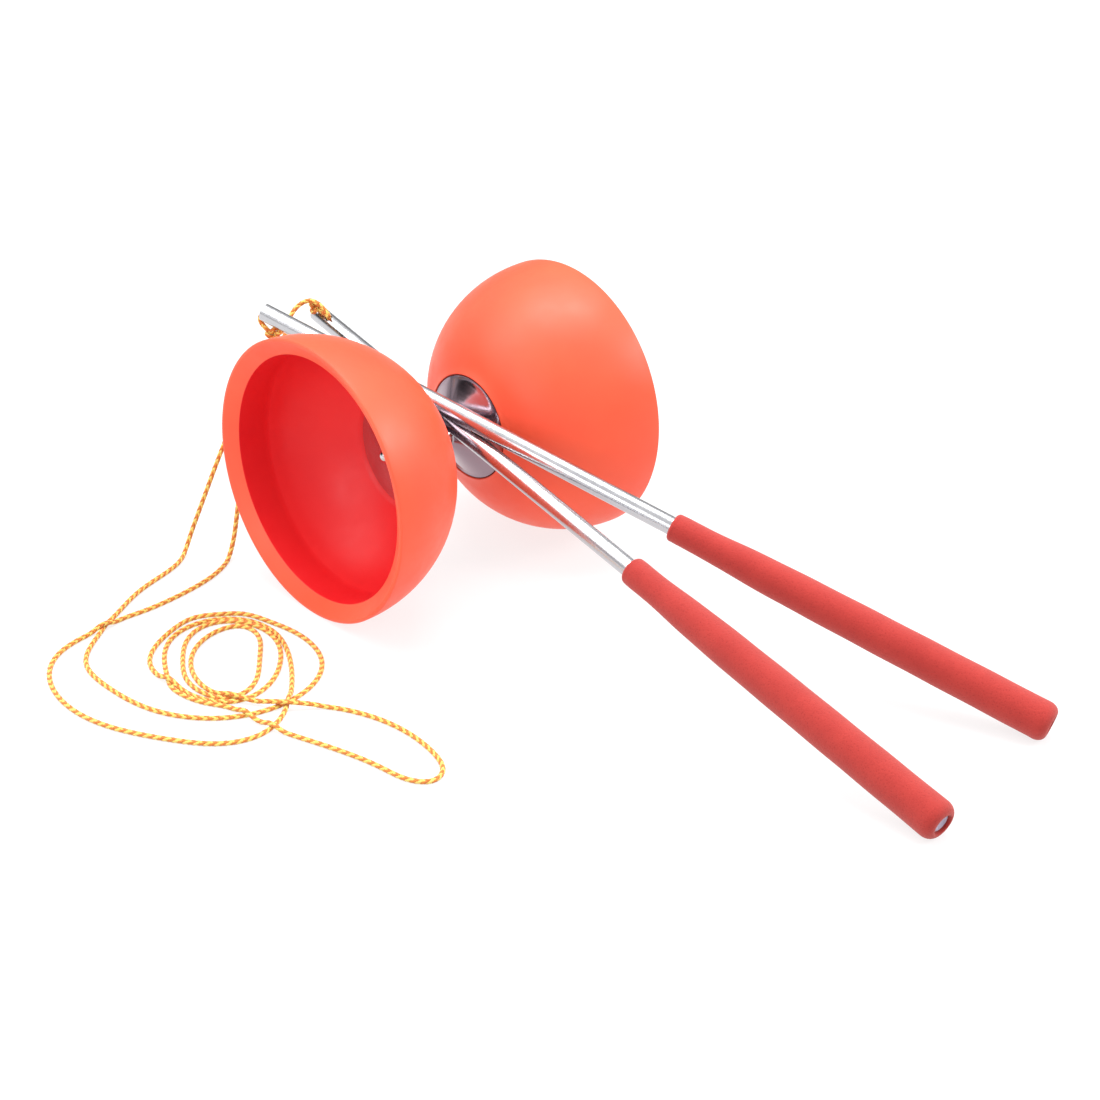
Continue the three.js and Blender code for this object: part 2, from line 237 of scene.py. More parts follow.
def foam_material(name, lit):
    """Closed-cell foam: small open pores in a matte skin."""
    m = Mat(name, Roughness=0.93)
    m.p.inputs["IOR"].default_value = 1.35
    m.p.inputs["Sheen Weight"].default_value = 0.25
    m.p.inputs["Sheen Roughness"].default_value = 0.6
    m.p.inputs["Sheen Tint"].default_value = (1.0, 0.7, 0.65, 1.0)
    v = m.coords()
    pores = m.voronoi(v, 2100)
    mid = m.voronoi(v, 1000)
    cloud = m.noise(v, 70, 5, 0.6)
    base = m.ramp(cloud, [(0.3, (0.62 * lit, 0.050 * lit, 0.038 * lit, 1)), (0.7, (0.74 * lit, 0.068 * lit, 0.050 * lit, 1))])
    dark = m.mapped(mid, 0.0, 0.45, 0.02, 0.32)
    speck = m.mapped(pores, 0.0, 1.0, 0.0, 0.45)
    shade = m.maths("MULTIPLY", dark, m.mapped(speck, 0.55, 1.0))
    m.to("Base Color", m.mix(shade, (0.34 * lit, 0.015 * lit, 0.014 * lit, 1), base))
    height = m.maths("ADD", m.maths("MULTIPLY", pores, 0.7), m.maths("ADD", m.maths("MULTIPLY", mid, 0.8), m.maths("MULTIPLY", cloud, 1.2)))
    m.bump(height, 0.3, 0.0003)
    return m.m


def plug_material():
    m = Mat("plug_plastic", Roughness=0.5)
    v = m.coords()
    m.to("Base Color", m.ramp(m.noise(v, 220, 4), [(0.3, (0.36, 0.30, 0.40, 1)), (0.7, (0.46, 0.40, 0.50, 1))]))
    m.to("Roughness", m.mapped(m.noise(v, 700, 3), 0.42, 0.6, 0.3, 0.7))
    m.bump(m.noise(v, 2200, 2), 0.12, 0.0001)
    return m.m


def yarn_material(name, dark, light):
    """One colour of the string's yarns: fibres run along each yarn."""
    m = Mat(name, Roughness=0.62)
    m.p.inputs["Sheen Weight"].default_value = 0.35
    m.p.inputs["Sheen Roughness"].default_value = 0.4
    v = m.coords()
    m.to("Base Color", m.ramp(m.noise(v, 900, 4, 0.7), [(0.3, dark), (0.7, light)]))
    m.to("Roughness", m.mapped(m.noise(v, 500, 3), 0.5, 0.75, 0.3, 0.7))
    m.bump(m.noise(v, 4200, 3, 0.7), 0.5, 0.0001)
    return m.m


# One rubber in two copies: the outside one is red with an orange tone that is partly painted sheen where light falls;
# the inside one is a deeper, purer red, painted shade inside the bowls.
CUP_OUTSIDE_LIT = cup_material("cup_rubber", (0.87, 0.084, 0.035), (0.90, 0.095, 0.039), (0.93, 0.107, 0.044), 0.38)
CUP_SHADED_INSIDE = cup_material("cup_rubber_inside_shaded", (0.72, 0.010, 0.016), (0.76, 0.014, 0.018), (0.79, 0.018, 0.021), 0.35)
# The hub's pink-purple tint is a painted reflection of the red cups in the polished aluminium.
HUB_PINK_REFLECTED = metal_material("hub_polished_pink_reflection", (0.35, 0.26, 0.30), 0.11, 0.20, "x", 0.02)
PLATE = metal_material("plate_polished", (0.66, 0.58, 0.60), 0.10, 0.2, "x", 0.05)
STEEL = metal_material("nut_chromed", (0.62, 0.62, 0.64), 0.05, 0.12)
ZINC = metal_material("zinc_plated", (0.66, 0.67, 0.70), 0.22, 0.38)
TUBE_U = tube_material("tube_polished_upper", np.subtract(BUTT_UPPER, TIP_UPPER))
TUBE_L = tube_material("tube_polished_lower", np.subtract(BUTT_LOWER, TIP_LOWER))
# lit scales the foam colour for how brightly each grip is lit: painted light, a little less on the lower grip.
FOAM_U = foam_material("grip_foam_upper", 0.80)
FOAM_L = foam_material("grip_foam_lower", 0.78)
PLUG = plug_material()
ORANGE = yarn_material("yarn_orange", (0.56, 0.14, 0.012, 1), (0.68, 0.21, 0.022, 1))
YELLOW = yarn_material("yarn_yellow", (0.74, 0.50, 0.085, 1), (0.84, 0.62, 0.15, 1))


# ------------------------------------------------------------ mesh building
def mesh_object(name, verts, faces, materials, face_material=None, smooth=True):
    me = bpy.data.meshes.new(name)
    me.from_pydata([tuple(map(float, v)) for v in verts], [], faces)
    for mt in materials:
        me.materials.append(mt)
    if face_material is not None:
        me.polygons.foreach_set("material_index", np.asarray(face_material, np.int32))
    me.update()
    if smooth:
        me.polygons.foreach_set("use_smooth", np.ones(len(me.polygons), bool))
    o = bpy.data.objects.new(name, me)
    bpy.context.scene.collection.objects.link(o)
    return o


def outward(o):
    bm = bmesh.new()
    bm.from_mesh(o.data)
    bmesh.ops.remove_doubles(bm, verts=bm.verts, dist=1e-8)
    bmesh.ops.recalc_face_normals(bm, faces=bm.faces)
    bm.to_mesh(o.data)
    bm.free()
    return o


def sharp(o, degrees=32):
    """Edges over that angle stay crisp in a smooth-shaded mesh."""
    bm = bmesh.new()
    bm.from_mesh(o.data)
    for e in bm.edges:
        if len(e.link_faces) == 2 and e.calc_face_angle(0) > math.radians(degrees):
            e.smooth = False
    bm.to_mesh(o.data)
    bm.free()
    return o


def frame_of(a, b):
    """Origin and axes of a turned piece in the row frame: x runs from a to b."""
    a, b = np.asarray(a, float), np.asarray(b, float)
    x = (b - a) / np.linalg.norm(b - a)
    y = np.cross((0, 0, 1.0), x)
    y /= np.linalg.norm(y)
    return a, np.stack([x, y, np.cross(x, y)], 1)


AXLE = (np.array([0, 0, AXLE_Z]), np.eye(3))
UPPER = frame_of(TIP_UPPER, BUTT_UPPER)
LOWER = frame_of(TIP_LOWER, BUTT_LOWER)
LEN_U = float(np.linalg.norm(np.subtract(BUTT_UPPER, TIP_UPPER)))
LEN_L = float(np.linalg.norm(np.subtract(BUTT_LOWER, TIP_LOWER)))


def turned(name, profile, place, material, segments=128, flip=False, ripple=None, sharp_deg=32):
    """A closed profile of (x, r) in millimetres turned about a piece's x axis."""
    prof = [(-x, r) for x, r in profile] if flip else list(profile)
    origin, axes = place
    verts, ring, faces = [], [], []
    for x, r in prof:
        if r < 1e-6:
            ring.append([len(verts)])
            verts.append((x, 0.0, 0.0))
        else:
            ids = []
            for k in range(segments):
                t = 2 * math.pi * k / segments
                rr = r + (ripple(x, t) if ripple else 0.0)
                ids.append(len(verts))
                verts.append((x, rr * math.cos(t), rr * math.sin(t)))
            ring.append(ids)
    n = len(prof)
    for i in range(n):
        a, b = ring[i], ring[(i + 1) % n]
        if len(a) == 1 and len(b) == 1:
            continue
        for k in range(segments):
            j = (k + 1) % segments
            if len(a) == 1:
                faces.append((a[0], b[k], b[j]))
            elif len(b) == 1:
                faces.append((a[k], b[0], a[j]))
            else:
                faces.append((a[k], b[k], b[j], a[j]))
    v = np.array(verts) @ axes.T + origin
    o = mesh_object(name, row(v), faces, [material])
    outward(o)
    return sharp(o, sharp_deg) if sharp_deg else o


def rounded(points, radius, steps=4):
    """The profile with each corner over 25 degrees rounded to a small radius."""
    out = []
    n = len(points)
    for i in range(n):
        p0, p1, p2 = (np.array(points[(i + k) % n], float) for k in (-1, 0, 1))
        a, b = p0 - p1, p2 - p1
        la, lb = np.linalg.norm(a), np.linalg.norm(b)
        if p1[1] < 1e-6 or la < 1e-9 or lb < 1e-9:
            out.append(tuple(p1))
            continue
        a, b = a / la, b / lb
        turn = math.pi - math.acos(max(-1, min(1, a @ b)))
        if turn < math.radians(25):
            out.append(tuple(p1))
            continue
        cut = min(radius * math.tan(turn / 2), 0.45 * la, 0.45 * lb)
        for s in range(steps + 1):
            t = s / steps
            q = (1 - t) ** 2 * (p1 + a * cut) + 2 * t * (1 - t) * p1 + t * t * (p1 + b * cut)
            out.append((q[0], max(q[1], 0.0)))
    return out


def spline(points, per=6):
    """Centripetal Catmull-Rom through 2-D points."""
    p = np.array(points, float)
    p = np.vstack([2 * p[0] - p[1], p, 2 * p[-1] - p[-2]])
    out = []
    for i in range(1, len(p) - 2):
        t = [0.0]
        for k in range(3):
            t.append(t[-1] + max(np.linalg.norm(p[i + k] - p[i + k - 1]), 1e-9) ** 0.5)
        for s in range(per):
            x = t[1] + (t[2] - t[1]) * s / per
            A = [((t[k + 1] - x) * p[i + k - 1] + (x - t[k]) * p[i + k]) / (t[k + 1] - t[k]) for k in range(3)]
            B = [((t[k + 2] - x) * A[k] + (x - t[k]) * A[k + 1]) / (t[k + 2] - t[k]) for k in range(2)]
            out.append(((t[2] - x) * B[0] + (x - t[1]) * B[1]) / (t[2] - t[1]))
    out.append(p[-2])
    return [tuple(q) for q in out]


# ------------------------------------------------------------------- string
ROUTE_MM = """
    -44.47,175.35,93.40 -45.83,175.47,91.42 -47.18,175.59,89.44 -48.52,175.72,87.45 -49.85,175.86,85.45 -51.17,176.00,83.45
    -52.48,176.14,81.44 -53.77,176.28,79.42 -55.05,176.43,77.39 -56.33,176.58,75.36 -57.59,176.73,73.32 -58.84,176.88,71.28
    -60.08,177.03,69.22 -61.30,177.18,67.16 -62.52,177.33,65.10 -63.73,177.47,63.02 -64.92,177.61,60.94 -66.10,177.75,58.86
    -67.27,177.88,56.76 -68.43,178.00,54.66 -69.58,178.12,52.56 -70.72,178.24,50.44 -71.84,178.34,48.32 -72.96,178.44,46.20
    -74.06,178.53,44.07 -75.15,178.62,41.93 -76.24,178.70,39.78 -77.31,178.78,37.64 -78.37,178.86,35.48 -79.42,178.95,33.33
    -80.47,179.04,31.16 -81.50,179.13,29.00 -82.53,179.24,26.83 -83.55,179.36,24.66 -84.56,179.49,22.48 -85.56,179.64,20.30
    -86.56,179.80,18.12 -87.55,179.96,15.94 -88.57,180.08,13.77 -89.62,180.14,11.61 -90.71,180.09,9.47 -91.87,179.92,7.37
    -93.12,179.57,5.35 -94.55,178.98,3.52 -96.19,178.06,2.03 -98.01,176.79,1.15 -99.91,175.34,1.03 -101.86,173.94,1.03
    -103.90,172.67,1.03 -106.04,171.58,1.03 -108.22,170.58,1.03 -110.45,169.66,1.03 -112.69,168.82,1.03 -114.96,168.02,1.03
    -117.24,167.26,1.03 -119.52,166.51,1.03 -121.80,165.74,1.03 -124.07,164.95,1.03 -126.32,164.11,1.03 -128.55,163.21,1.03
    -130.75,162.25,1.03 -132.91,161.21,1.03 -135.05,160.11,1.03 -137.15,158.95,1.03 -139.23,157.75,1.03 -141.28,156.50,1.03
    -143.32,155.23,1.03 -145.35,153.95,1.03 -147.39,152.68,1.03 -149.45,151.43,1.03 -151.52,150.22,1.03 -153.61,149.04,1.03
    -155.69,147.83,1.03 -157.72,146.55,1.03 -159.66,145.13,1.03 -161.54,143.64,1.03 -163.45,142.18,1.03 -165.36,140.73,1.03
    -167.27,139.27,1.03 -169.17,137.80,1.03 -171.05,136.30,1.03 -172.88,134.74,1.03 -174.65,133.12,1.03 -176.34,131.41,1.03
    -177.92,129.61,1.03 -179.36,127.68,1.03 -180.63,125.65,1.03 -181.71,123.50,1.03 -182.59,121.27,1.03 -183.28,118.96,1.03
    -183.79,116.62,1.03 -184.15,114.24,1.03 -184.38,111.85,1.03 -184.52,109.45,1.03 -184.58,107.05,1.03 -184.59,104.65,1.03
    -184.54,102.25,1.03 -184.46,99.85,1.03 -184.33,97.45,1.03 -184.17,95.05,1.03 -183.95,92.66,1.03 -183.67,90.27,1.03
    -183.32,87.90,1.03 -182.90,85.53,1.03 -182.41,83.18,1.03 -181.81,80.85,1.03 -181.13,78.55,1.03 -180.34,76.28,1.03
    -179.45,74.05,1.03 -178.46,71.86,1.03 -177.36,69.72,1.03 -176.17,67.64,1.03 -174.87,65.62,1.03 -173.48,63.66,1.03
    -171.99,61.78,1.03 -170.41,59.97,1.03 -168.73,58.25,1.03 -166.97,56.62,1.03 -165.12,55.08,1.03 -163.19,53.66,1.03
    -161.18,52.34,1.03 -159.10,51.14,1.03 -156.95,50.06,1.03 -154.75,49.11,1.03 -152.49,48.29,1.03 -150.19,47.61,1.03
    -147.85,47.05,1.03 -145.49,46.62,1.03 -143.10,46.33,1.03 -140.70,46.18,1.03 -138.30,46.18,1.03 -135.90,46.29,1.03
    -133.51,46.51,1.03 -131.14,46.88,1.03 -128.79,47.40,1.03 -126.48,48.04,1.03 -124.20,48.81,1.03 -121.98,49.71,1.03
    -119.81,50.75,1.03 -117.71,51.91,1.03 -115.69,53.21,1.03 -113.75,54.63,1.03 -111.91,56.18,1.03 -110.19,57.85,1.03
    -108.58,59.63,1.03 -107.11,61.53,1.03 -105.78,63.53,1.03 -104.60,65.62,1.03 -103.57,67.79,1.03 -102.69,70.03,1.03
    -101.95,72.31,1.03 -101.35,74.64,1.03 -100.88,76.99,1.03 -100.53,79.37,1.03 -100.31,81.76,1.03 -100.20,84.16,1.03
    -100.22,86.56,1.03 -100.34,88.96,1.03 -100.58,91.35,1.03 -100.91,93.73,1.03 -101.33,96.10,1.03 -101.82,98.45,1.03
    -102.36,100.79,1.03 -102.93,103.13,1.03 -103.52,105.45,1.03 -104.13,107.78,1.03 -104.80,110.08,1.03 -105.60,112.35,1.03
    -106.60,114.53,1.03 -107.90,116.55,1.03 -109.50,118.34,1.03 -111.34,119.88,1.03 -113.31,121.25,1.03 -115.33,122.55,1.03
    -117.37,123.82,1.03 -119.44,125.03,1.03 -121.59,126.10,1.03 -123.86,126.90,1.03 -126.22,127.33,1.03 -128.62,127.36,1.03
    -131.00,127.07,1.03 -133.34,126.52,1.03 -135.63,125.81,1.03 -137.89,124.98,1.03 -140.11,124.08,1.03 -142.31,123.10,1.03
    -144.47,122.06,1.03 -146.60,120.94,1.03 -148.68,119.75,1.03 -150.71,118.46,1.03 -152.67,117.08,1.03 -154.55,115.58,1.03
    -156.33,113.96,1.03 -157.98,112.22,1.03 -159.47,110.34,1.03 -160.79,108.33,1.03 -161.88,106.19,1.03 -162.75,103.95,1.03
    -163.40,101.64,1.03 -163.81,99.27,1.04 -164.03,96.89,1.20 -164.05,94.57,1.81 -163.89,92.31,2.59 -163.54,89.97,2.94
    -163.19,87.64,2.49 -162.99,85.37,1.73 -162.89,83.04,1.19 -162.82,80.64,1.04 -162.65,78.25,1.03 -162.31,75.87,1.03
    -161.76,73.53,1.03 -160.99,71.26,1.03 -160.02,69.06,1.03 -158.84,66.97,1.03 -157.44,65.02,1.03 -155.82,63.25,1.03
    -153.95,61.74,1.03 -151.87,60.55,1.03 -149.61,59.75,1.03 -147.26,59.28,1.03 -144.86,59.13,1.03 -142.47,59.31,1.03
    -140.11,59.76,1.03 -137.80,60.43,1.03 -135.56,61.29,1.03 -133.39,62.32,1.03 -131.30,63.50,1.03 -129.28,64.81,1.03
    -127.35,66.23,1.03 -125.49,67.75,1.03 -123.70,69.36,1.03 -121.99,71.04,1.03 -120.34,72.79,1.03 -118.76,74.60,1.03
    -117.25,76.47,1.03 -115.83,78.40,1.03 -114.50,80.40,1.03 -113.27,82.47,1.03 -112.17,84.61,1.03 -111.21,86.81,1.03
    -110.39,89.06,1.03 -109.74,91.38,1.03 -109.27,93.73,1.03 -108.99,96.12,1.03 -108.91,98.52,1.03 -109.07,100.91,1.03
    -109.45,103.28,1.03 -110.05,105.61,1.03 -110.85,107.87,1.03 -111.87,110.04,1.03 -113.16,112.07,1.03 -114.72,113.90,1.03
    -116.51,115.49,1.03 -118.53,116.79,1.03 -120.71,117.79,1.03 -123.02,118.42,1.03 -125.41,118.64,1.03 -127.81,118.49,1.03
    -130.16,118.00,1.03 -132.43,117.24,1.03 -134.61,116.23,1.03 -136.68,115.00,1.03 -138.63,113.60,1.03 -140.45,112.04,1.03
    -142.16,110.35,1.03 -143.77,108.56,1.03 -145.29,106.71,1.03 -146.75,104.80,1.03 -148.16,102.85,1.03 -149.53,100.88,1.03
    -150.87,98.89,1.03 -152.18,96.87,1.03 -153.43,94.82,1.03 -154.59,92.72,1.03 -155.63,90.55,1.03 -156.53,88.33,1.03
    -157.25,86.04,1.03 -157.78,83.69,1.03 -158.10,81.31,1.03 -158.21,78.92,1.03 -158.11,76.52,1.03 -157.81,74.13,1.03
    -157.31,71.78,1.03 -156.57,69.50,1.03 -155.50,67.35,1.03 -153.97,65.51,1.03 -152.00,64.16,1.03 -149.72,63.44,1.03
    -147.33,63.24,1.03 -144.94,63.49,1.03 -142.63,64.15,1.03 -140.43,65.11,1.03 -138.37,66.34,1.03 -136.44,67.76,1.03
    -134.62,69.34,1.03 -132.92,71.04,1.03 -131.31,72.81,1.03 -129.75,74.65,1.03 -128.24,76.51,1.03 -126.76,78.40,1.03
    -125.28,80.30,1.03 -123.80,82.19,1.03 -122.32,84.08,1.03 -120.84,85.97,1.03 -119.37,87.87,1.03 -117.94,89.80,1.03
    -116.59,91.79,1.03 -115.37,93.86,1.03 -114.35,96.03,1.03 -113.56,98.30,1.03 -113.08,100.65,1.03 -112.95,103.05,1.03
    -113.29,105.42,1.03 -114.19,107.64,1.03 -115.80,109.40,1.03 -117.90,110.54,1.03 -120.20,111.22,1.03 -122.59,111.47,1.03
    -124.99,111.42,1.03 -127.37,111.11,1.03 -129.71,110.57,1.03 -132.00,109.85,1.03 -134.22,108.93,1.03 -136.36,107.85,1.03
    -138.42,106.61,1.03 -140.38,105.22,1.03 -142.23,103.70,1.03 -143.98,102.05,1.03 -145.62,100.29,1.03 -147.13,98.43,1.03
    -148.53,96.47,1.03 -149.80,94.44,1.03 -150.94,92.32,1.03 -151.95,90.14,1.03 -152.82,87.90,1.03 -153.55,85.62,1.03
    -154.13,83.28,1.03 -154.55,80.92,1.03 -154.79,78.53,1.03 -154.84,76.13,1.03 -154.67,73.73,1.03 -154.26,71.37,1.09
    -153.65,69.09,1.50 -152.92,66.92,2.24 -152.10,64.75,2.85 -151.19,62.54,3.04 -150.13,60.39,3.01 -148.90,58.36,2.66
    -147.57,56.46,2.05 -146.20,54.50,1.79 -144.91,52.50,2.01 -143.71,50.47,2.46 -142.54,48.42,2.91 -141.31,46.39,3.30
    -139.92,44.46,3.58 -138.31,42.68,3.66 -136.50,41.11,3.47 -134.59,39.70,3.11 -132.64,38.37,2.68 -130.71,37.01,2.22
    -128.88,35.54,1.71 -127.18,33.91,1.24 -125.62,32.10,1.05 -124.20,30.17,1.03 -122.91,28.14,1.03 -121.72,26.05,1.03
    -120.61,23.92,1.03 -119.59,21.75,1.03 -118.64,19.54,1.03 -117.77,17.30,1.03 -116.98,15.03,1.03 -116.28,12.73,1.03
    -115.66,10.41,1.03 -115.13,8.07,1.03 -114.69,5.71,1.03 -114.32,3.33,1.03 -114.05,0.95,1.03 -113.86,-1.45,1.03
    -113.76,-3.85,1.03 -113.74,-6.25,1.03 -113.80,-8.65,1.03 -113.94,-11.05,1.03 -114.16,-13.44,1.03 -114.46,-15.82,1.03
    -114.84,-18.20,1.03 -115.29,-20.55,1.03 -115.85,-22.89,1.03 -116.53,-25.20,1.03 -117.37,-27.45,1.03 -118.43,-29.60,1.03
    -119.77,-31.59,1.03 -121.45,-33.30,1.03 -123.45,-34.62,1.03 -125.72,-35.36,1.03 -128.10,-35.26,1.03 -130.26,-34.24,1.03
    -132.02,-32.61,1.03 -133.43,-30.67,1.03 -134.49,-28.52,1.03 -135.28,-26.25,1.03 -135.85,-23.92,1.03 -136.27,-21.55,1.03
    -136.62,-19.18,1.03 -136.96,-16.80,1.03 -137.33,-14.42,1.03 -137.75,-12.06,1.03 -138.21,-9.70,1.03 -138.73,-7.36,1.03
    -139.30,-5.02,1.03 -139.91,-2.70,1.03 -140.55,-0.38,1.03 -141.23,1.92,1.03 -141.94,4.22,1.03 -142.67,6.50,1.03
    -143.43,8.78,1.03 -144.20,11.06,1.03 -144.99,13.33,1.03 -145.80,15.59,1.03 -146.61,17.85,1.03 -147.43,20.11,1.03
    -148.25,22.37,1.03 -149.06,24.63,1.03 -149.84,26.90,1.04 -150.59,29.17,1.27 -151.26,31.38,1.92 -151.85,33.59,2.65
    -152.39,35.90,2.74 -152.85,38.17,2.08 -153.26,40.46,1.50 -153.66,42.82,1.41 -154.02,45.14,1.90 -154.32,47.41,2.62
    -154.57,49.77,2.81 -154.82,52.07,2.19 -155.16,54.33,1.44 -155.71,56.63,1.08 -156.54,58.88,1.03 -157.66,61.01,1.03
    -158.92,63.05,1.03 -160.20,65.08,1.03 -161.40,67.17,1.03 -162.46,69.32,1.03 -163.34,71.56,1.03 -164.04,73.85,1.03
    -164.59,76.19,1.03 -164.99,78.56,1.03 -165.24,80.95,1.03 -165.28,83.35,1.03 -165.02,85.74,1.03 -164.41,88.05,1.03
    -163.47,90.27,1.03 -162.43,92.43,1.03 -161.39,94.60,1.03 -160.33,96.75,1.03 -159.24,98.89,1.03 -158.10,101.01,1.03
    -156.92,103.10,1.03 -155.69,105.17,1.03 -154.40,107.19,1.03 -153.02,109.16,1.03 -151.57,111.07,1.03 -150.01,112.90,1.03
    -148.34,114.63,1.03 -146.56,116.24,1.03 -144.66,117.71,1.03 -142.64,119.01,1.03 -140.51,120.12,1.03 -138.29,121.03,1.03
    -135.99,121.73,1.03 -133.64,122.20,1.03 -131.25,122.43,1.03 -128.85,122.43,1.03 -126.46,122.17,1.03 -124.11,121.68,1.03
    -121.83,120.93,1.03 -119.63,119.96,1.03 -117.54,118.78,1.03 -115.58,117.39,1.03 -113.77,115.82,1.03 -112.13,114.06,1.03
    -110.72,112.12,1.03 -109.53,110.03,1.03 -108.58,107.83,1.03 -107.84,105.54,1.03 -107.30,103.20,1.03 -106.97,100.83,1.03
    -106.83,98.43,1.03 -106.91,96.03,1.03 -107.16,93.64,1.03 -107.60,91.28,1.03 -108.18,88.95,1.03 -108.89,86.65,1.03
    -109.70,84.39,1.03 -110.60,82.16,1.03 -111.58,79.97,1.03 -112.61,77.80,1.03 -113.71,75.66,1.03 -114.86,73.55,1.03
    -116.06,71.47,1.03 -117.30,69.42,1.03 -118.58,67.39,1.03 -119.90,65.38,1.03 -121.26,63.40,1.03 -122.65,61.43,1.03
    -124.07,59.50,1.03 -125.52,57.58,1.03 -127.00,55.69,1.03 -128.52,53.83,1.03 -130.07,52.00,1.06 -131.65,50.23,1.43
    -133.22,48.57,2.17 -134.84,46.93,2.82 -136.54,45.27,2.69 -138.23,43.74,1.92 -139.99,42.26,1.27 -141.86,40.77,1.04
    -143.80,39.36,1.03 -145.81,38.04,1.03 -147.89,36.84,1.03 -150.05,35.79,1.03 -152.28,34.90,1.03 -154.59,34.25,1.03
    -156.96,33.82,1.03 -159.35,33.64,1.03 -161.75,33.72,1.03 -164.13,34.05,1.03 -166.46,34.63,1.03 -168.72,35.44,1.03
    -170.89,36.47,1.03 -172.96,37.69,1.03 -174.91,39.08,1.03 -176.76,40.62,1.03 -178.50,42.27,1.03 -180.14,44.02,1.03
    -181.71,45.85,1.03 -183.20,47.73,1.03 -184.64,49.65,1.03 -186.03,51.61,1.03 -187.39,53.59,1.03 -188.72,55.59,1.03
    -190.03,57.61,1.03 -191.30,59.64,1.03 -192.56,61.70,1.03 -193.77,63.77,1.03 -194.95,65.86,1.03 -196.09,67.97,1.03
    -197.18,70.12,1.03 -198.22,72.28,1.03 -199.19,74.48,1.03 -200.10,76.70,1.03 -200.94,78.95,1.03 -201.70,81.23,1.03
    -202.37,83.54,1.03 -202.96,85.87,1.03 -203.46,88.22,1.03 -203.86,90.59,1.03 -204.17,92.97,1.03 -204.38,95.36,1.03
    -204.49,97.76,1.03 -204.50,100.16,1.03 -204.42,102.56,1.03 -204.25,104.96,1.03 -203.97,107.35,1.03 -203.60,109.72,1.03
    -203.13,112.07,1.03 -202.55,114.41,1.03 -201.87,116.71,1.03 -201.08,118.98,1.03 -200.18,121.21,1.03 -199.17,123.38,1.03
    -198.04,125.51,1.03 -196.80,127.56,1.03 -195.43,129.54,1.03 -193.95,131.43,1.03 -192.35,133.21,1.03 -190.62,134.89,1.03
    -188.78,136.43,1.03 -186.83,137.83,1.03 -184.78,139.08,1.03 -182.64,140.17,1.03 -180.43,141.11,1.03 -178.16,141.91,1.03
    -175.86,142.58,1.03 -173.52,143.15,1.03 -171.17,143.62,1.03 -168.80,144.00,1.05 -166.43,144.31,1.30 -164.13,144.56,1.94
    -161.85,144.77,2.67 -159.48,144.97,2.91 -157.16,145.25,2.42 -154.92,145.66,1.65 -152.62,146.09,1.13 -150.24,146.40,1.03
    -147.84,146.54,1.03 -145.44,146.50,1.03 -143.04,146.40,1.03 -140.64,146.31,1.03 -138.24,146.27,1.03 -135.84,146.31,1.03
    -133.44,146.41,1.03 -131.04,146.58,1.03 -128.65,146.79,1.03 -126.26,147.05,1.03 -123.87,147.34,1.03 -121.49,147.66,1.03
    -119.12,148.01,1.03 -116.74,148.40,1.03 -114.38,148.82,1.03 -112.02,149.28,1.03 -109.67,149.79,1.03 -107.34,150.35,1.03
    -105.02,150.97,1.03 -102.71,151.65,1.03 -100.43,152.41,1.03 -98.18,153.25,1.03 -95.97,154.17,1.03 -93.79,155.18,1.03
    -91.65,156.29,1.03 -89.57,157.48,1.03 -87.57,158.81,1.03 -85.62,160.22,1.05 -83.75,161.55,1.69 -82.05,162.65,2.98
    -80.57,163.54,4.64 -79.29,164.25,6.54 -78.19,164.83,8.59 -77.26,165.28,10.76 -76.48,165.62,13.01 -75.81,165.88,15.30
    -75.21,166.09,17.62 -74.64,166.27,19.94 -74.06,166.45,22.27 -73.44,166.64,24.58 -72.79,166.85,26.89 -72.11,167.08,29.18
    -71.38,167.32,31.45 -70.62,167.58,33.72 -69.82,167.86,35.97 -68.98,168.16,38.20 -68.10,168.47,40.41 -67.18,168.81,42.60
    -66.21,169.16,44.77 -65.20,169.53,46.92 -64.15,169.93,49.04 -63.05,170.35,51.14 -61.91,170.78,53.21 -60.73,171.23,55.25
    -59.52,171.70,57.27 -58.27,172.19,59.26 -56.98,172.69,61.23 -55.67,173.21,63.17 -54.32,173.74,65.09 -52.95,174.29,66.99
    -51.56,174.84,68.86 -50.14,175.41,70.72 -48.70,175.99,72.55 -47.23,176.58,74.36 -45.75,177.18,76.15 -44.25,177.78,77.93
    -42.74,178.44,79.68 -41.22,179.09,81.42 -39.67,179.68,83.16 -38.11,180.25,84.89 -36.53,180.84,86.61 -34.95,181.47,88.30
    -33.36,182.19,89.96 -31.80,183.02,91.58 -30.26,183.98,93.15 -28.74,185.01,94.70 -27.14,185.87,96.27 -25.41,186.30,97.87
    -23.57,186.26,99.41 -21.65,185.81,100.78 -19.65,184.96,101.79 -17.65,183.73,102.19 -15.89,182.22,101.63 -14.57,180.66,100.40
    -13.65,179.06,98.86 -13.13,177.39,97.22 -13.03,175.57,95.66
"""
PITCH = 7.2          # one turn of a yarn round the string
STRING_R = 1.0


def resample(points, step):
    p = np.asarray(points, float)
    s = np.concatenate([[0], np.cumsum(np.linalg.norm(np.diff(p, axis=0), axis=1))])
    n = max(2, int(round(s[-1] / step)))
    at = np.linspace(0, s[-1], n + 1)
    return np.stack([np.interp(at, s, p[:, k]) for k in range(3)], 1), at


def smooth_line(points, step):
    """A dense line through the points: Catmull-Rom, then even spacing."""
    p = np.asarray(points, float)
    q = np.vstack([2 * p[0] - p[1], p, 2 * p[-1] - p[-2]])
    out = []
    for i in range(1, len(q) - 2):
        a, b, c, d = q[i - 1:i + 3]
        for s in np.arange(8) / 8:
            out.append(0.5 * (2 * b + (c - a) * s + (2 * a - 5 * b + 4 * c - d) * s * s + (3 * b - a - 3 * c + d) * s ** 3))
    out.append(p[-1])
    return resample(out, step)


